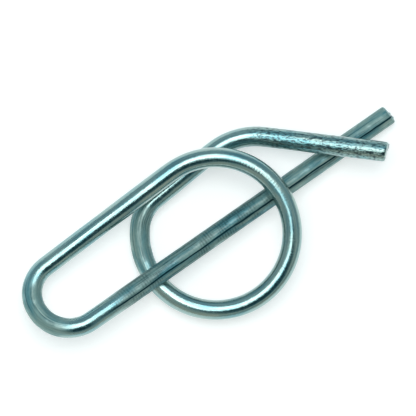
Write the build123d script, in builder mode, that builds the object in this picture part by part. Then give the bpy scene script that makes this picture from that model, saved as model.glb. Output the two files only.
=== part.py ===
from build123d import *
import math
import os

# Rue ring cotter pin: one length of round spring wire, bent into a straight leg,
# a hairpin, a second leg, one turn of a ring and a free arm across the straight leg.
# All sizes are in millimetres and all angles in degrees.
# While it is being drawn, +X runs along the straight leg to its tip, the ring
# is centred on the origin and +Z is the ring's own axis.

# wire
wire_diameter = 2.5
cut_break = 0.2
crossing_clearance = 0.22
ring_clearance = 0.15

# ring
ring_inside_diameter = 16.25
ring_turn = 312.0

# straight leg
leg_offset = -0.08
leg_tip_reach = 26.3

# hairpin
hairpin_reach = 23.3
leg_side_bend_radius = 4.5
ring_side_bend_radius = 4.1
return_leg_angle = 2.35

# run from the ring's end to the free arm
run_angle = 4.74
run_slope = 0.048
run_bend_radius = 4.9
run_length = 14.95

# free arm
arm_angle = 41.8
arm_bend_radius = 8.3
arm_length = 19.05

# how the finished pin leans when it lies on a flat surface
rest_lean_along = -8.03
rest_lean_across = 0.19

wire_radius = wire_diameter / 2
crossing_spacing = wire_diameter + crossing_clearance
ring_pitch = wire_diameter + ring_clearance
ring_radius = (ring_inside_diameter + wire_diameter) / 2
ring_slope = ring_pitch / (2 * math.pi * ring_radius)


def ring_height(turned):
    """Height of the ring's centre line after it has turned so many degrees."""
    return -ring_pitch * turned / 360


def heading(angle, slope):
    """Unit direction from its plan angle and its rise per unit of plan length."""
    flat = Vector(math.cos(math.radians(angle)), math.sin(math.radians(angle)), slope)
    return flat.normalized()


def bend_points(before, corner, after, radius):
    """Start, middle and end of the round bend that replaces a corner."""
    toward_before = (before - corner).normalized()
    toward_after = (after - corner).normalized()
    half_angle = math.radians(toward_before.get_angle(toward_after)) / 2
    tangent_length = radius / math.tan(half_angle)
    bisector = (toward_before + toward_after).normalized()
    centre = corner + bisector * (radius / math.sin(half_angle))
    start = corner + toward_before * tangent_length
    end = corner + toward_after * tangent_length
    middle = centre - bisector * radius
    return start, middle, end


# ring: starts where the return leg meets it and falls evenly as it goes round
ring_start_angle = 90 + return_leg_angle
ring_end_angle = ring_start_angle - ring_turn
ring_start = Vector(
    ring_radius * math.cos(math.radians(ring_start_angle)),
    ring_radius * math.sin(math.radians(ring_start_angle)),
    0,
)
ring_end = Vector(
    ring_radius * math.cos(math.radians(ring_end_angle)),
    ring_radius * math.sin(math.radians(ring_end_angle)),
    ring_height(ring_turn),
)

# straight leg: under the ring on the tip side, over it on the hairpin side
tip_side_height = ring_height(ring_start_angle) - crossing_spacing
hairpin_side_height = ring_height(ring_start_angle + 180) + crossing_spacing
leg_slope = (tip_side_height - hairpin_side_height) / (2 * ring_radius)
leg_mid_height = (tip_side_height + hairpin_side_height) / 2


def leg_point(reach):
    """Point on the straight leg's centre line at a given reach from the ring's axis."""
    return Vector(reach, leg_offset, leg_mid_height + leg_slope * reach)


leg_tip = leg_point(leg_tip_reach)
leg_corner = leg_point(-hairpin_reach)

# return leg: a straight line that runs into the start of the ring
return_direction = heading(return_leg_angle, -ring_slope)
return_length = (ring_start.X + hairpin_reach) / return_direction.X
return_corner = ring_start - return_direction * return_length

# run and arm: from the ring's end, under the ring's start, then over the leg
ring_end_direction = heading(ring_end_angle - 90, -ring_slope)
run_direction = heading(run_angle, -run_slope)
run_turn = math.radians(ring_end_direction.get_angle(run_direction))
run_corner = ring_end + ring_end_direction * (run_bend_radius * math.tan(run_turn / 2))
arm_corner = run_corner + run_direction * run_length
arm_flat = heading(-arm_angle, 0)
arm_cross_distance = (leg_offset - arm_corner.Y) / arm_flat.Y
arm_cross_reach = arm_corner.X + arm_flat.X * arm_cross_distance
arm_cross_height = leg_point(arm_cross_reach).Z + crossing_spacing
arm_slope = (arm_cross_height - arm_corner.Z) / arm_cross_distance
arm_tip = arm_corner + heading(-arm_angle, arm_slope) * arm_length

leg_bend = bend_points(leg_tip, leg_corner, return_corner, leg_side_bend_radius)
return_bend = bend_points(leg_corner, return_corner, ring_start, ring_side_bend_radius)
run_bend = bend_points(ring_end, run_corner, arm_corner, run_bend_radius)
arm_bend = bend_points(run_corner, arm_corner, arm_tip, arm_bend_radius)

with BuildPart() as bent_wire:
    with BuildLine() as centre_line:
        Line(leg_tip, leg_bend[0])
        ThreePointArc(leg_bend[0], leg_bend[1], leg_bend[2])
        Line(leg_bend[2], return_bend[0])
        ThreePointArc(return_bend[0], return_bend[1], return_bend[2])
        Line(return_bend[2], ring_start)
        ring_line = Helix(ring_pitch, -ring_end.Z, ring_radius, mode=Mode.PRIVATE)
        add(Pos(0, 0, ring_end.Z) * Rot(0, 0, ring_end_angle) * ring_line)
        ThreePointArc(run_bend[0], run_bend[1], run_bend[2])
        Line(run_bend[2], arm_bend[0])
        ThreePointArc(arm_bend[0], arm_bend[1], arm_bend[2])
        Line(arm_bend[2], arm_tip)
    with BuildSketch(Plane(leg_tip, z_dir=leg_bend[0] - leg_tip)) as wire_section:
        Circle(wire_radius)
    sweep(path=centre_line.line)
    end_faces = bent_wire.faces().filter_by(GeomType.PLANE)
    fillet(end_faces.edges(), cut_break)

# lay the bent wire down as it rests, its underside on the ground and its
# outline centred on the origin
leaning = Rot(rest_lean_across, 0, 0) * Rot(0, rest_lean_along, 0)
outline = bent_wire.part.moved(leaning).bounding_box()
onto_ground = Pos(-outline.center().X, -outline.center().Y, -outline.min.Z)

with BuildPart() as pin:
    add(bent_wire.part.moved(onto_ground * leaning))
pin.part.label = "ring_cotter_pin"

os.makedirs("parts", exist_ok=True)
export_step(pin.part, "parts/ring_cotter_pin.step")
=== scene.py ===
"""A rue ring cotter pin: one spring wire, plated with zinc, lying on a pale floor."""

import logging
import math
from dataclasses import dataclass, field
from enum import Enum

import bpy
from mathutils import Matrix, Vector

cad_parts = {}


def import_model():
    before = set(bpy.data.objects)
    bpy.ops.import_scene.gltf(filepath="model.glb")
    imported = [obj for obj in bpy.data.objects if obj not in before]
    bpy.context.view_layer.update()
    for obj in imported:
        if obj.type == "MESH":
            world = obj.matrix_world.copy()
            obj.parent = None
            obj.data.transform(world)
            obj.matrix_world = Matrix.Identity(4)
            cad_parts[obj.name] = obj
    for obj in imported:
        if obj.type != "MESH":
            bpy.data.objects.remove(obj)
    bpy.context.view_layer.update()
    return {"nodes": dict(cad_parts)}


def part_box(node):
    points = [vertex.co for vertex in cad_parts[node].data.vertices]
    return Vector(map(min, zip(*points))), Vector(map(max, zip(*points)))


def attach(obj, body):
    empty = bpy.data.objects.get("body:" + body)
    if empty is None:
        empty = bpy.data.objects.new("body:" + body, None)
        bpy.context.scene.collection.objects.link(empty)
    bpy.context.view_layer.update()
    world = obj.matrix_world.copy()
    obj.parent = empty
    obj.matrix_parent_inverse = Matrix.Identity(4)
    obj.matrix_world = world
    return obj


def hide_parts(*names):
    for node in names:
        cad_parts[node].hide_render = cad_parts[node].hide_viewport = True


logging.basicConfig(level=logging.INFO, format="%(message)s")
log = logging.getLogger("cotter_pin")

MM = 0.001
NODE = "ring_cotter_pin"


class Turn(Enum):
    """Which way a stretch of wire is bent."""

    STRAIGHT = 0
    BEND = 1
    RING = 2


@dataclass
class PinShape:
    """The sizes of the bent wire, in millimetres and degrees, as it is drawn before it is laid down.

    +X runs along the straight leg to its tip, and the ring is centred on the origin.
    """

    wire_diameter: float = 2.5
    ring_inside_diameter: float = 16.25
    ring_pitch: float = 2.65
    ring_turn: float = 312.0
    leg_offset: float = -0.08
    crossing_spacing: float = 2.72
    leg_tip_reach: float = 26.3
    hairpin_reach: float = 23.3
    leg_side_bend_radius: float = 4.5
    ring_side_bend_radius: float = 4.1
    return_leg_angle: float = 2.35
    run_angle: float = 4.74
    run_slope: float = 0.048
    run_bend_radius: float = 4.9
    run_length: float = 14.95
    arm_angle: float = 41.8
    arm_bend_radius: float = 8.3
    arm_length: float = 19.05
    rest_lean_along: float = -8.03
    rest_lean_across: float = 0.19

    @property
    def wire_radius(self) -> float:
        """Half the wire's diameter."""
        return self.wire_diameter / 2

    @property
    def ring_radius(self) -> float:
        """Radius of the ring's centre line."""
        return (self.ring_inside_diameter + self.wire_diameter) / 2

    @property
    def ring_slope(self) -> float:
        """How far the ring falls for each millimetre it runs."""
        return self.ring_pitch / (2 * math.pi * self.ring_radius)

    def ring_point(self, turned: float) -> Vector:
        """Finds a point on the ring's centre line.

        Args:
            turned: Degrees turned since the ring's start.

        Returns:
            The point, in millimetres.
        """
        angle = math.radians(90 + self.return_leg_angle - turned)
        flat = Vector((math.cos(angle), math.sin(angle), 0)) * self.ring_radius
        return flat + Vector((0, 0, -self.ring_pitch * turned / 360))

    def leg_point(self, reach: float) -> Vector:
        """Finds a point on the straight leg's centre line.

        Args:
            reach: Distance from the ring's axis, towards the tip.

        Returns:
            The point, in millimetres.
        """
        start = 90 + self.return_leg_angle
        tip_side = self.ring_point(start).z - self.crossing_spacing
        hairpin_side = self.ring_point(start + 180).z + self.crossing_spacing
        slope = (tip_side - hairpin_side) / (2 * self.ring_radius)
        height = (tip_side + hairpin_side) / 2 + slope * reach
        return Vector((reach, self.leg_offset, height))

    def heading(self, angle: float, slope: float) -> Vector:
        """Gives a unit direction.

        Args:
            angle: Its angle in plan, in degrees.
            slope: Its rise per unit of plan length.

        Returns:
            The direction.
        """
        turn = math.radians(angle)
        return Vector((math.cos(turn), math.sin(turn), slope)).normalized()

    def lay_down(self) -> Matrix:
        """Gives the turn that lays the drawn wire down as it rests.

        Returns:
            The turn alone, without a shift.
        """
        across = Matrix.Rotation(math.radians(self.rest_lean_across), 4, "X")
        along = Matrix.Rotation(math.radians(self.rest_lean_along), 4, "Y")
        return across @ along


@dataclass
class Stretch:
    """One length of wire: a straight, a round bend or the falling ring."""

    turn: Turn
    steps: int
    move: Vector = field(default_factory=Vector)
    centre: Vector = field(default_factory=Vector)
    axis: Vector = field(default_factory=lambda: Vector((0, 0, 1)))
    angle: float = 0.0


@dataclass
class Wire:
    """The wire, extruded along its straights and spun round its bends.

    Lengths are in millimetres and angles in degrees.

    Attributes:
        shape: The sizes that the wire is bent to.
        sides: Points round the wire.
        straight_step: About how far each step along a straight goes.
        bend_step: About how far each step round a bend turns.
        tip_cut: Way that the cut face at the leg's tip looks.
        arm_cut: Way that the cut face at the arm's tip looks.
        cut_margin: Wire that a cut takes beyond what its slant needs.
        cut_reach: How far from a cut its points are picked.
        tip_spare: Extra wire swept at the leg's tip, for the cut to take.
        tip_loss: Length that the leg's tip loses to the cut, which lifts the lowest point.
        cut_break: Width of the broken edge round a cut.
        weld: Points nearer than this are merged.
        crease_angle: Edges sharper than this stay sharp.
        arm_end: End of the centre line at the arm, once swept.
        uncut_points: The swept points before the cuts.
        placing: The turn and shift that laid the wire down.
    """

    shape: PinShape
    sides: int = 32
    straight_step: float = 1.1
    bend_step: float = 6.0
    tip_cut: Vector = field(default_factory=lambda: Vector((0.994, 0.070, 0.08)))
    arm_cut: Vector = field(default_factory=lambda: Vector((0.685, -0.729, 0.10)))
    cut_margin: float = 0.10
    cut_reach: float = 3.2
    tip_spare: float = 0.20
    tip_loss: float = 0.36
    cut_break: float = 0.28
    weld: float = 0.002
    crease_angle: float = 40.0
    arm_end: Vector = field(default_factory=Vector)
    uncut_points: list[Vector] = field(default_factory=list)
    placing: Matrix = field(default_factory=Matrix)

    def corner_bend(
        self, before: Vector, corner: Vector, after: Vector, radius: float
    ) -> tuple[Vector, Vector, Stretch]:
        """Rounds a corner of the centre line.

        Args:
            before: A point on the line that comes in.
            corner: Where the two lines meet.
            after: A point on the line that goes out.
            radius: Radius of the bend's centre line, in millimetres.

        Returns:
            The bend's start, its end, and the bend itself.
        """
        back = (before - corner).normalized()
        onward = (after - corner).normalized()
        half = back.angle(onward) / 2
        reach = radius / math.tan(half)
        centre = corner + (back + onward).normalized() * (radius / math.sin(half))
        axis = back.cross(onward).normalized() * -1
        angle = math.pi - 2 * half
        steps = max(4, round(math.degrees(angle) / self.bend_step))
        bend = Stretch(Turn.BEND, steps, centre=centre, axis=axis, angle=angle)
        return corner + back * reach, corner + onward * reach, bend

    def straight(self, start: Vector, end: Vector) -> Stretch:
        """Makes the straight stretch between two points.

        Args:
            start: Where it starts, in millimetres.
            end: Where it ends, in millimetres.

        Returns:
            The stretch.
        """
        steps = max(1, round((end - start).length / self.straight_step))
        return Stretch(Turn.STRAIGHT, steps, move=end - start)

    def route(self) -> tuple[Vector, Vector, list[Stretch]]:
        """Lays out the whole wire, from the straight leg's tip to the arm's tip.

        Returns:
            The first point, the first direction and the stretches in order.
        """
        pin = self.shape
        tip = pin.leg_point(pin.leg_tip_reach + self.tip_spare)
        leg_corner = pin.leg_point(-pin.hairpin_reach)
        ring_start = pin.ring_point(0)
        ring_end = pin.ring_point(pin.ring_turn)
        back_way = pin.heading(pin.return_leg_angle, -pin.ring_slope)
        back_length = (ring_start.x + pin.hairpin_reach) / back_way.x
        back_corner = ring_start - back_way * back_length
        end_way = pin.heading(pin.return_leg_angle - pin.ring_turn, -pin.ring_slope)
        run_way = pin.heading(pin.run_angle, -pin.run_slope)
        reach = pin.run_bend_radius * math.tan(end_way.angle(run_way) / 2)
        run_corner = ring_end + end_way * reach
        arm_corner = run_corner + run_way * pin.run_length
        arm_flat = pin.heading(-pin.arm_angle, 0)
        cross = (pin.leg_offset - arm_corner.y) / arm_flat.y
        cross_height = pin.leg_point(arm_corner.x + arm_flat.x * cross).z + pin.crossing_spacing
        arm_slope = (cross_height - arm_corner.z) / cross
        arm_tip = arm_corner + pin.heading(-pin.arm_angle, arm_slope) * pin.arm_length

        a, b, leg_bend = self.corner_bend(tip, leg_corner, back_corner, pin.leg_side_bend_radius)
        c, d, back_bend = self.corner_bend(
            leg_corner, back_corner, ring_start, pin.ring_side_bend_radius
        )
        e, f, run_bend = self.corner_bend(ring_end, run_corner, arm_corner, pin.run_bend_radius)
        g, h, arm_bend = self.corner_bend(run_corner, arm_corner, arm_tip, pin.arm_bend_radius)
        ring = Stretch(
            Turn.RING,
            round(pin.ring_turn / self.bend_step),
            move=Vector((0, 0, ring_end.z - ring_start.z)),
            axis=Vector((0, 0, -1)),
            angle=math.radians(pin.ring_turn),
        )
        stretches = [
            self.straight(tip, a),
            leg_bend,
            self.straight(b, c),
            back_bend,
            self.straight(d, ring_start),
            ring,
            run_bend,
            self.straight(f, g),
            arm_bend,
            self.straight(h, arm_tip),
        ]
        return tip, (a - tip).normalized(), stretches

    def sweep(self, stretch: Stretch) -> None:
        """Carries the selected end of the wire along one stretch.

        Args:
            stretch: The straight, bend or ring to follow.
        """
        for _ in range(stretch.steps):
            if stretch.turn is Turn.STRAIGHT:
                bpy.ops.mesh.extrude_region_move(
                    TRANSFORM_OT_translate={"value": stretch.move * (MM / stretch.steps)}
                )
                continue
            bpy.ops.mesh.spin(
                steps=1,
                angle=-stretch.angle / stretch.steps,
                center=stretch.centre * MM,
                axis=stretch.axis,
            )
            if stretch.turn is Turn.RING:
                bpy.ops.transform.translate(value=stretch.move * (MM / stretch.steps))

    def build(self) -> bpy.types.Object:
        """Models the wire and lays it down where the solid one lies.

        Returns:
            The finished piece.
        """
        tip, way, stretches = self.route()
        bpy.ops.object.select_all(action="DESELECT")
        facing = way.to_track_quat("Z", "Y").to_euler()
        bpy.ops.mesh.primitive_circle_add(
            vertices=self.sides,
            radius=self.shape.wire_radius * MM,
            fill_type="NOTHING",
            location=tip * MM,
            rotation=facing,
        )
        piece = bpy.context.active_object
        piece.name = "plated_wire"
        bpy.ops.object.transform_apply(location=True, rotation=True, scale=True)
        bpy.ops.object.mode_set(mode="EDIT")
        bpy.ops.mesh.select_all(action="SELECT")
        for stretch in stretches:
            self.sweep(stretch)
        bpy.ops.object.mode_set(mode="OBJECT")
        log.info("wire swept: %d points", len(piece.data.vertices))
        self.record_unbent_place(piece, way)
        self.uncut_points = [vertex.co.copy() for vertex in piece.data.vertices]
        end_way = stretches[-1].move.normalized()
        self.snip(piece, tip, -way, self.tip_cut)
        self.snip(piece, self.arm_end, end_way, self.arm_cut)
        self.smooth(piece)
        self.lay_down(piece)
        return piece

    def record_unbent_place(self, piece: bpy.types.Object, way: Vector) -> None:
        """Stores where each point would be if the wire were straightened out along X, in millimetres.

        Marks that the wire took on before or while it was bent follow this place.

        Args:
            piece: The swept wire, still open at both ends.
            way: Direction of the wire at the leg's tip, away from the tip.
        """
        mesh = piece.data
        neighbours: dict[int, list[int]] = {v.index: [] for v in mesh.vertices}
        for edge in mesh.edges:
            first, second = edge.vertices
            neighbours[first].append(second)
            neighbours[second].append(first)
        up = (Vector((0, 0, 1)) - way * way.z).normalized()
        side = up.cross(way)
        rings = [list(range(self.sides))]
        centre = sum((mesh.vertices[i].co for i in rings[0]), Vector()) / self.sides
        across: dict[int, tuple[float, float]] = {}
        for i in rings[0]:
            offset = (mesh.vertices[i].co - centre) / MM
            across[i] = (offset.dot(side), offset.dot(up))
        run = 0.0
        place = {i: (run, *across[i]) for i in rings[0]}
        while rings[-1]:
            following = []
            for i in rings[-1]:
                for j in neighbours[i]:
                    if j not in across:
                        across[j] = across[i]
                        following.append(j)
            if following:
                onward = sum((mesh.vertices[j].co for j in following), Vector()) / len(following)
                run += (onward - centre).length / MM
                centre = onward
                place.update({j: (run, *across[j]) for j in following})
            rings.append(following)
        self.arm_end = centre / MM
        unbent = mesh.attributes.new("unbent", "FLOAT_VECTOR", "POINT")
        for i, spot in place.items():
            unbent.data[i].vector = spot
        log.info("unbent place kept for %d rings, %.1f mm of wire", len(rings) - 1, run)

    def snip(self, piece: bpy.types.Object, end: Vector, outward: Vector, cut: Vector) -> None:
        """Cuts one end off on a slant, as little as closes it, and breaks the cut's edge.

        Args:
            piece: The wire.
            end: The end of the centre line, in millimetres.
            outward: Direction of the centre line at the end, outwards.
            cut: Direction the cut face looks, outwards.
        """
        depth = self.shape.wire_radius * math.tan(outward.angle(cut)) + self.cut_margin
        point = end - outward * depth
        bpy.ops.object.mode_set(mode="EDIT")
        bpy.ops.mesh.select_mode(type="VERT")
        bpy.ops.mesh.select_all(action="DESELECT")
        bpy.ops.object.mode_set(mode="OBJECT")
        for vertex in piece.data.vertices:
            vertex.select = (vertex.co - point * MM).length < self.cut_reach * MM
        bpy.ops.object.mode_set(mode="EDIT")
        bpy.ops.mesh.select_mode(type="EDGE")
        bpy.ops.mesh.bisect(
            plane_co=point * MM,
            plane_no=cut,
            use_fill=True,
            clear_outer=True,
        )
        bpy.ops.mesh.bevel(
            offset=self.cut_break * MM,
            segments=3,
            affect="EDGES",
        )
        bpy.ops.object.mode_set(mode="OBJECT")

    def smooth(self, piece: bpy.types.Object) -> None:
        """Merges doubles, turns the faces outwards and rounds the wire off.

        Args:
            piece: The wire, closed at both ends.
        """
        bpy.ops.object.mode_set(mode="EDIT")
        bpy.ops.mesh.select_all(action="SELECT")
        bpy.ops.mesh.remove_doubles(threshold=self.weld * MM)
        bpy.ops.mesh.normals_make_consistent(inside=False)
        bpy.ops.object.mode_set(mode="OBJECT")
        rounder = piece.modifiers.new("round", "SUBSURF")
        rounder.levels = rounder.render_levels = 1
        bpy.ops.object.modifier_apply(modifier="round")
        bpy.ops.object.shade_smooth_by_angle(angle=math.radians(self.crease_angle))

    def lay_down(self, piece: bpy.types.Object) -> None:
        """Leans the drawn wire as it rests and moves it onto the solid wire's place.

        Args:
            piece: The finished wire, as drawn.
        """
        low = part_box(NODE)[0]
        lean = self.shape.lay_down()
        leaning = [lean @ point for point in self.uncut_points]
        lows = Vector([min(point[i] for point in leaning) for i in range(3)])
        leg = self.shape.leg_point(0) - self.shape.leg_point(1)
        lows.z += self.tip_loss * MM * (lean @ leg.normalized()).z
        shift = Vector(low) - lows
        self.placing = Matrix.Translation(shift) @ lean
        piece.matrix_world = self.placing
        bpy.ops.object.transform_apply(location=True, rotation=True, scale=True)


@dataclass
class NodeBench:
    """A short way to add nodes to one tree and join them."""

    tree: bpy.types.NodeTree

    def add(self, kind: str, **values: object) -> bpy.types.Node:
        """Adds a node and sets its fields and plain inputs.

        Args:
            kind: The node's type.
            values: Fields of the node, or inputs by name with spaces as underscores.

        Returns:
            The new node.
        """
        node = self.tree.nodes.new(kind)
        for name, value in values.items():
            if hasattr(node, name):
                setattr(node, name, value)
            else:
                node.inputs[name.replace("_", " ")].default_value = value
        return node

    def join(self, source: bpy.types.NodeSocket, target: bpy.types.NodeSocket) -> None:
        """Links one socket to another.

        Args:
            source: The socket that gives the value.
            target: The socket that takes it.
        """
        self.tree.links.new(source, target)

    def math(self, operation: str, *terms: object) -> bpy.types.NodeSocket:
        """Adds a sum, product or other step on numbers.

        Args:
            operation: What the step does.
            terms: Numbers or sockets, in order.

        Returns:
            The result's socket.
        """
        node = self.tree.nodes.new("ShaderNodeMath")
        node.operation = operation
        for i, term in enumerate(terms):
            if isinstance(term, (int, float)):
                node.inputs[i].default_value = term
            else:
                self.join(term, node.inputs[i])
        return node.outputs["Value"]

    def stretched(
        self, place: bpy.types.NodeSocket, scale: tuple[float, float, float]
    ) -> bpy.types.NodeSocket:
        """Scales a place along each of its directions.

        Args:
            place: The place to scale.
            scale: Factors along and across the wire.

        Returns:
            The scaled place.
        """
        node = self.tree.nodes.new("ShaderNodeVectorMath")
        node.operation = "MULTIPLY"
        self.join(place, node.inputs[0])
        node.inputs[1].default_value = scale
        return node.outputs["Vector"]

    def grain(
        self, place: bpy.types.NodeSocket, detail: float = 3.0, roughness: float = 0.55
    ) -> bpy.types.NodeSocket:
        """Adds cloudy grain, one unit of the place to a lump.

        Args:
            place: Where on the wire, already stretched.
            detail: How many finer layers the grain has.
            roughness: How strong the finer layers are.

        Returns:
            A value from 0 to 1.
        """
        node = self.add("ShaderNodeTexNoise", Scale=1.0, Detail=detail, Roughness=roughness)
        self.join(place, node.inputs["Vector"])
        return node.outputs["Fac"]

    def blend(
        self, share: bpy.types.NodeSocket, first: object, second: object
    ) -> bpy.types.NodeSocket:
        """Mixes two colours.

        Args:
            share: How much of the second colour there is, from 0 to 1.
            first: A colour, or the socket that gives it.
            second: A colour, or the socket that gives it.

        Returns:
            The mixed colour.
        """
        node = self.add("ShaderNodeMix", data_type="RGBA")
        self.join(share, node.inputs[0])
        for target, colour in ((node.inputs[6], first), (node.inputs[7], second)):
            if isinstance(colour, tuple):
                target.default_value = (*colour, 1.0)
            else:
                self.join(colour, target)
        return node.outputs[2]

    def reach_along(self, place: bpy.types.NodeSocket, way: Vector) -> bpy.types.NodeSocket:
        """Finds how far a place lies along a direction.

        Args:
            place: The place.
            way: The direction.

        Returns:
            The distance, negative behind.
        """
        node = self.add("ShaderNodeVectorMath", operation="DOT_PRODUCT")
        self.join(place, node.inputs[0])
        node.inputs[1].default_value = way
        return node.outputs["Value"]

    def ramp(
        self,
        value: bpy.types.NodeSocket,
        low: float,
        high: float,
        start: float = 0.0,
        end: float = 1.0,
    ) -> bpy.types.NodeSocket:
        """Eases a value from one range to another.

        Args:
            value: The value to change.
            low: Where the rise begins.
            high: Where the rise ends.
            start: Result below the rise.
            end: Result above the rise.

        Returns:
            The eased value.
        """
        node = self.tree.nodes.new("ShaderNodeMapRange")
        node.interpolation_type = "SMOOTHSTEP"
        self.join(value, node.inputs["Value"])
        node.inputs["From Min"].default_value = low
        node.inputs["From Max"].default_value = high
        node.inputs["To Min"].default_value = start
        node.inputs["To Max"].default_value = end
        return node.outputs["Result"]


@dataclass(frozen=True)
class Mark:
    """A stretch of wire, in millimetres from the straight leg's tip, that carries one kind of mark."""

    start: float
    end: float
    fade: float = 1.5


@dataclass
class Surface:
    """The wire's marks and grain at each place, and its painted dark reflection, as sockets that the
    finish draws on.
    """

    seam: bpy.types.NodeSocket
    dull: bpy.types.NodeSocket
    mottled: bpy.types.NodeSocket
    ribs: bpy.types.NodeSocket
    die_lines: bpy.types.NodeSocket
    fine_lines: bpy.types.NodeSocket
    clouds: bpy.types.NodeSocket
    patches: bpy.types.NodeSocket
    pits: bpy.types.NodeSocket


@dataclass(frozen=True)
class PlatedWire:
    """Bright zinc over drawn spring wire.

    It is blue-green, streaked along its length and ribbed by the rolls that fed it. Grain is
    given as lumps per millimetre along and across the wire, and depths are in millimetres.
    """

    deep: tuple[float, float, float] = (0.11, 0.31, 0.345)
    body: tuple[float, float, float] = (0.262, 0.41, 0.388)
    pale: tuple[float, float, float] = (0.42, 0.54, 0.48)
    # Dark colour shared by the die lines, ribs and specks and by the painted dark reflection.
    dark_mark_and_reflection_colour: tuple[float, float, float] = (0.004, 0.045, 0.060)
    # Side, width and fading of the painted dark reflection along the straight leg.
    dark_reflection_side: float = 0.42
    dark_reflection_width: float = 0.11
    dark_reflection_fade: tuple[float, float] = (42.0, 46.0)
    dull_roughness: float = 0.66
    bright_roughness: float = 0.17
    coat_roughness: float = 0.16
    coat_ior: float = 1.7
    die_line_grain: tuple[float, float, float] = (0.12, 5.5, 5.5)
    fine_line_grain: tuple[float, float, float] = (0.5, 16.0, 16.0)
    cloud_grain: tuple[float, float, float] = (0.22, 0.9, 0.9)
    patch_grain: tuple[float, float, float] = (0.7, 0.9, 0.9)
    pit_grain: tuple[float, float, float] = (2.4, 4.2, 4.2)
    die_line_depth: float = 0.0100
    fine_line_depth: float = 0.0020
    rib_depth: float = 0.0065
    pit_depth: float = 0.012
    mottle_depth: float = 0.048
    dull: tuple[Mark, ...] = (
        Mark(-5.0, 42.0, 3.0),
        Mark(49.5, 57.5, 2.0),
        Mark(125.0, 132.5, 2.0),
    )
    chattered: tuple[Mark, ...] = (
        Mark(19.0, 31.0),
        Mark(35.0, 44.0),
        Mark(62.0, 70.0),
        Mark(82.0, 95.0),
        Mark(100.0, 112.0),
    )
    mottled: tuple[Mark, ...] = (Mark(148.5, 166.0),)

    def along(
        self, bench: NodeBench, run: bpy.types.NodeSocket, marks: tuple[Mark, ...]
    ) -> bpy.types.NodeSocket:
        """Finds how much of one kind of mark each place on the wire has.

        Args:
            bench: Where the nodes are added.
            run: Distance along the wire.
            marks: The stretches that have the mark.

        Returns:
            A value from 0 to 1.
        """
        total: bpy.types.NodeSocket | float = 0.0
        for mark in marks:
            rise = bench.ramp(run, mark.start - mark.fade, mark.start + mark.fade)
            fall = bench.ramp(run, mark.end - mark.fade, mark.end + mark.fade, 1.0, 0.0)
            total = bench.math("MAXIMUM", bench.math("MULTIPLY", rise, fall), total)
        return total

    def dark_reflection_line(
        self,
        bench: NodeBench,
        sideways: bpy.types.NodeSocket,
        run: bpy.types.NodeSocket,
        clouds: bpy.types.NodeSocket,
    ) -> bpy.types.NodeSocket:
        """Finds how much of each place is the painted dark reflection, a dark line laid along the
        straight leg.

        Args:
            bench: Where the nodes are added.
            sideways: Distance across the wire from its middle.
            run: Distance along the wire.
            clouds: Grain that makes the line wander and fade.

        Returns:
            A value from 0 to 1.
        """
        wander = bench.math("MULTIPLY_ADD", clouds, 0.30, self.dark_reflection_side - 0.15)
        apart = bench.math("ABSOLUTE", bench.math("SUBTRACT", sideways, wander))
        line = bench.ramp(apart, self.dark_reflection_width * 0.6, self.dark_reflection_width * 1.2, 1.0, 0.0)
        leg = bench.ramp(run, *self.dark_reflection_fade, 1.0, 0.0)
        return bench.math("MULTIPLY", line, leg)

    def read_surface(self, bench: NodeBench) -> Surface:
        """Works out the marks, grain and painted dark reflection at each place on the wire.

        Args:
            bench: Where the nodes are added.

        Returns:
            The marks, grain and painted dark reflection.
        """
        place = bench.add("ShaderNodeAttribute", attribute_name="unbent").outputs["Vector"]
        split = bench.add("ShaderNodeSeparateXYZ")
        bench.join(place, split.inputs["Vector"])
        run = split.outputs["X"]
        clouds = bench.grain(bench.stretched(place, self.cloud_grain), 3.0)
        patches = bench.grain(bench.stretched(place, self.patch_grain), 2.0)
        bars = bench.add(
            "ShaderNodeTexWave",
            wave_type="BANDS",
            bands_direction="X",
            Scale=0.85,
            Distortion=3.0,
            Detail=2.0,
            Detail_Scale=1.4,
        )
        bench.join(place, bars.inputs["Vector"])
        chattered = self.along(bench, run, self.chattered)
        ripple = bench.math("MULTIPLY", chattered, bench.ramp(patches, 0.40, 0.60, 0.15, 1.0))
        return Surface(
            # The painted dark reflection along the straight leg.
            seam=self.dark_reflection_line(bench, split.outputs["Y"], run, clouds),
            dull=self.along(bench, run, self.dull),
            mottled=self.along(bench, run, self.mottled),
            ribs=bench.math("MULTIPLY", bars.outputs["Fac"], ripple),
            die_lines=bench.grain(bench.stretched(place, self.die_line_grain), 4.0, 0.65),
            fine_lines=bench.grain(bench.stretched(place, self.fine_line_grain), 2.0),
            clouds=clouds,
            patches=patches,
            pits=bench.grain(bench.stretched(place, self.pit_grain), 4.0, 0.6),
        )

    def paint(self, bench: NodeBench, wire: Surface) -> bpy.types.NodeSocket:
        """Colours the plating, with its pale streaks, dark lines, ribs and specks, and paints the dark
        reflection along the straight leg.

        Args:
            bench: Where the nodes are added.
            wire: The wire's marks and grain.

        Returns:
            The colour.
        """
        colour = bench.blend(bench.ramp(wire.clouds, 0.32, 0.62), self.deep, self.body)
        streaks = bench.ramp(wire.die_lines, 0.48, 0.72, 0.0, 0.75)
        colour = bench.blend(streaks, colour, self.pale)
        worn = bench.math("MAXIMUM", wire.dull, bench.math("MULTIPLY", wire.mottled, 0.8))
        worn = bench.math("MAXIMUM", worn, 0.35)
        dark = bench.math("MULTIPLY", bench.ramp(wire.die_lines, 0.37, 0.47, 0.62, 0.0), worn)
        ribs = bench.math("MULTIPLY", wire.ribs, wire.dull)
        dark = bench.math("MAXIMUM", dark, bench.math("MULTIPLY", ribs, 0.5))
        specks = bench.math("MULTIPLY", wire.mottled, bench.ramp(wire.pits, 0.41, 0.50, 0.85, 0.0))
        dark = bench.math("MAXIMUM", dark, specks)
        # The painted dark reflection and the dark lines, ribs and specks all blend towards one dark
        # colour.
        return bench.blend(bench.math("MAXIMUM", wire.seam, dark), colour, self.dark_mark_and_reflection_colour)

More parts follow.
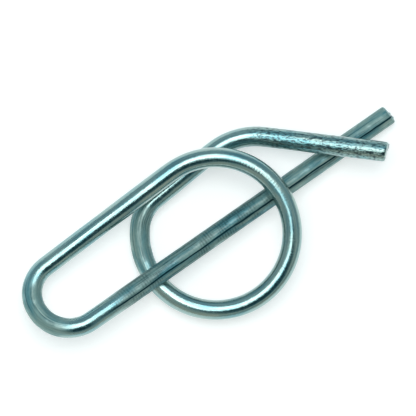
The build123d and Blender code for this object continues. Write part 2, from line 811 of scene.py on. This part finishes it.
    def polish(self, bench: NodeBench, wire: Surface, shader: bpy.types.Node) -> None:
        """Sets how matt each place is, and how much clear coat lies over it.

        Args:
            bench: Where the nodes are added.
            wire: The wire's marks and grain.
            shader: The metal that takes the values.
        """
        matt = bench.math("MULTIPLY", wire.dull, bench.ramp(wire.patches, 0.25, 0.6, 0.55, 1.0))
        rough = bench.ramp(matt, 0.0, 1.0, self.bright_roughness, self.dull_roughness)
        rough = bench.math("MULTIPLY_ADD", bench.ramp(wire.pits, 0.35, 0.7), 0.10, rough)
        bench.join(rough, shader.inputs["Roughness"])
        # The coat is thinned under the painted dark reflection so that it stays dark.
        glaze = bench.math("SUBTRACT", bench.ramp(matt, 0.0, 1.0, 1.0, 0.25), wire.seam)
        glaze = bench.math("SUBTRACT", glaze, bench.math("MULTIPLY", wire.mottled, 0.5))
        bench.join(bench.math("MAXIMUM", glaze, 0.0), shader.inputs["Coat Weight"])
        shader.inputs["Coat Roughness"].default_value = self.coat_roughness
        shader.inputs["Coat IOR"].default_value = self.coat_ior

    def emboss(self, bench: NodeBench, wire: Surface) -> bpy.types.NodeSocket:
        """Raises the die lines, ribs and pits.

        Args:
            bench: Where the nodes are added.
            wire: The wire's marks and grain.

        Returns:
            The way the raised surface faces.
        """
        height = bench.math("MULTIPLY", wire.die_lines, self.die_line_depth)
        height = bench.math("MULTIPLY_ADD", wire.fine_lines, self.fine_line_depth, height)
        height = bench.math("MULTIPLY_ADD", wire.ribs, self.rib_depth, height)
        bumps = bench.math("MULTIPLY_ADD", wire.mottled, self.mottle_depth, self.pit_depth)
        height = bench.math("ADD", bench.math("MULTIPLY", wire.pits, bumps), height)
        relief = bench.add("ShaderNodeBump", Strength=1.0, Distance=MM)
        bench.join(height, relief.inputs["Height"])
        return relief.outputs["Normal"]

    def dress(self, piece: bpy.types.Object) -> None:
        """Gives a piece this finish.

        Args:
            piece: The wire.
        """
        material = bpy.data.materials.new("zinc_plated_wire")
        material.use_nodes = True
        bench = NodeBench(material.node_tree)
        shader = material.node_tree.nodes["Principled BSDF"]
        shader.inputs["Metallic"].default_value = 1.0
        wire = self.read_surface(bench)
        bench.join(self.paint(bench, wire), shader.inputs["Base Color"])
        self.polish(bench, wire, shader)
        bench.join(self.emboss(bench, wire), shader.inputs["Normal"])
        piece.data.materials.clear()
        piece.data.materials.append(material)


@dataclass
class Studio:
    """The pale floor, the light round the pin and the camera above it.

    The frame, the camera's distance and its aim are in millimetres.
    """

    placing: Matrix
    frame_width: float = 50.96
    camera_distance: float = 900.0
    leg_angle: float = 34.75
    aim_right: float = -0.974
    aim_up: float = 3.16
    lamp_distance: float = 0.5
    room_light: float = 0.44
    least_light: float = 0.08
    warm_light: tuple[float, float, float] = (1.0, 0.97, 0.87)
    cool_light: tuple[float, float, float] = (0.62, 0.88, 1.0)
    dim_light: tuple[float, float, float] = (0.06, 0.60, 0.80)
    chalk: tuple[float, float, float] = (0.86, 0.87, 0.86)
    floor_glow: float = 0.45

    def axes(self) -> tuple[Vector, Vector, Vector]:
        """Gives the camera's own directions.

        Returns:
            Right, up and backward, in the row frame.
        """
        turn = math.radians(self.leg_angle)
        lean = self.placing.to_3x3()
        right = lean @ Vector((math.cos(turn), -math.sin(turn), 0))
        up = lean @ Vector((math.sin(turn), math.cos(turn), 0))
        return right, up, lean @ Vector((0, 0, 1))

    def place_camera(self) -> None:
        """Looks down along the ring's axis, with the straight leg pointing up to the right."""
        right, up, back = self.axes()
        target = self.placing.translation + (right * self.aim_right + up * self.aim_up) * MM
        spot = target + back * (self.camera_distance * MM)
        data = bpy.data.cameras.new("camera")
        data.sensor_width = 36.0
        data.lens = 36.0 * self.camera_distance / self.frame_width
        data.clip_start = 0.005
        data.clip_end = 10.0
        camera = bpy.data.objects.new("camera", data)
        turned = Matrix((right, up, back)).transposed().to_4x4()
        camera.matrix_world = Matrix.Translation(spot) @ turned
        bpy.context.scene.collection.objects.link(camera)
        bpy.context.scene.camera = camera

    def toward(self, right: float, up: float, back: float) -> Vector:
        """Turns a direction given by the camera's axes into the row frame.

        Args:
            right: Its part to the camera's right.
            up: Its part upwards as the camera sees it.
            back: Its part towards the camera.

        Returns:
            The unit direction.
        """
        axes = self.axes()
        return (axes[0] * right + axes[1] * up + axes[2] * back).normalized()

    def place_lamp(self, name: str, way: Vector, size: tuple[float, float], power: float) -> None:
        """Hangs a soft lamp that looks at the pin.

        Args:
            name: What the lamp is called.
            way: Direction from the pin to the lamp.
            size: Width and height, in metres.
            power: Its power in watts.
        """
        data = bpy.data.lights.new(name, "AREA")
        data.shape = "RECTANGLE"
        data.size, data.size_y = size
        data.energy = power
        lamp = bpy.data.objects.new(name, data)
        side = way.cross(self.toward(-1, 1, 0)).normalized()
        turned = Matrix((side, way.cross(side), way)).transposed().to_4x4()
        lamp.matrix_world = Matrix.Translation(way * self.lamp_distance) @ turned
        bpy.context.scene.collection.objects.link(lamp)

    def light_room(self) -> None:
        """Fills the room with soft light.

        It is warmer from below the picture and cooler from above it, and it is dim and
        blue-green from one patch low in front of the pin.
        """
        world = bpy.data.worlds.new("room")
        world.use_nodes = True
        bpy.context.scene.world = world
        bench = NodeBench(world.node_tree)
        place = bench.add("ShaderNodeTexCoord").outputs["Generated"]
        patch = bench.reach_along(place, self.toward(0.25, -0.42, 0.87))
        bright = bench.ramp(patch, 0.86, 0.965, 1.0, 0.0)
        upward = bench.add("ShaderNodeMapRange", From_Min=-0.8, From_Max=0.8)
        bench.join(bench.reach_along(place, self.toward(0, 1, 0)), upward.inputs["Value"])
        tint = bench.blend(upward.outputs["Result"], self.warm_light, self.cool_light)
        background = world.node_tree.nodes["Background"]
        bench.join(bench.blend(bright, self.dim_light, tint), background.inputs["Color"])
        level = bench.math("MULTIPLY_ADD", bright, self.room_light, self.least_light)
        bench.join(level, background.inputs["Strength"])

    def lay_floor(self) -> None:
        """Lays a plain pale floor that keeps the pin's shadow."""
        bpy.ops.object.select_all(action="DESELECT")
        bpy.ops.mesh.primitive_plane_add(size=4.0, location=(0, 0, 0))
        floor = bpy.context.active_object
        floor.name = "floor"
        material = bpy.data.materials.new("pale_floor")
        material.use_nodes = True
        nodes = material.node_tree.nodes
        nodes.remove(nodes["Principled BSDF"])
        bench = NodeBench(material.node_tree)
        matt = bench.add("ShaderNodeBsdfDiffuse", Color=(*self.chalk, 1.0))
        rays = bench.add("ShaderNodeLightPath")
        seen = bench.math("MAXIMUM", rays.outputs["Is Camera Ray"], rays.outputs["Is Glossy Ray"])
        glow = bench.add("ShaderNodeEmission")
        bench.join(bench.math("MULTIPLY", seen, self.floor_glow), glow.inputs["Strength"])
        both = bench.add("ShaderNodeAddShader")
        bench.join(matt.outputs["BSDF"], both.inputs[0])
        bench.join(glow.outputs["Emission"], both.inputs[1])
        bench.join(both.outputs["Shader"], nodes["Material Output"].inputs["Surface"])
        floor.data.materials.append(material)

    def build(self) -> None:
        """Sets the floor, the light, the lamp and the camera."""
        bpy.context.scene.view_settings.view_transform = "Standard"
        self.lay_floor()
        self.light_room()
        self.place_lamp("key_lamp", self.toward(-0.03, 0.23, 0.97), (0.41, 0.31), 1.2)
        self.place_camera()
        log.info("studio ready")


def main() -> None:
    """Builds the pin and the studio round it."""
    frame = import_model()
    log.info("loaded %d solid pieces", len(frame["nodes"]))
    wire = Wire(PinShape())
    piece = wire.build()
    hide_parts(NODE)
    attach(piece, "root")
    PlatedWire().dress(piece)
    log.info("%s: %d faces", piece.name, len(piece.data.polygons))
    Studio(wire.placing).build()


if __name__ == "__main__":
    main()
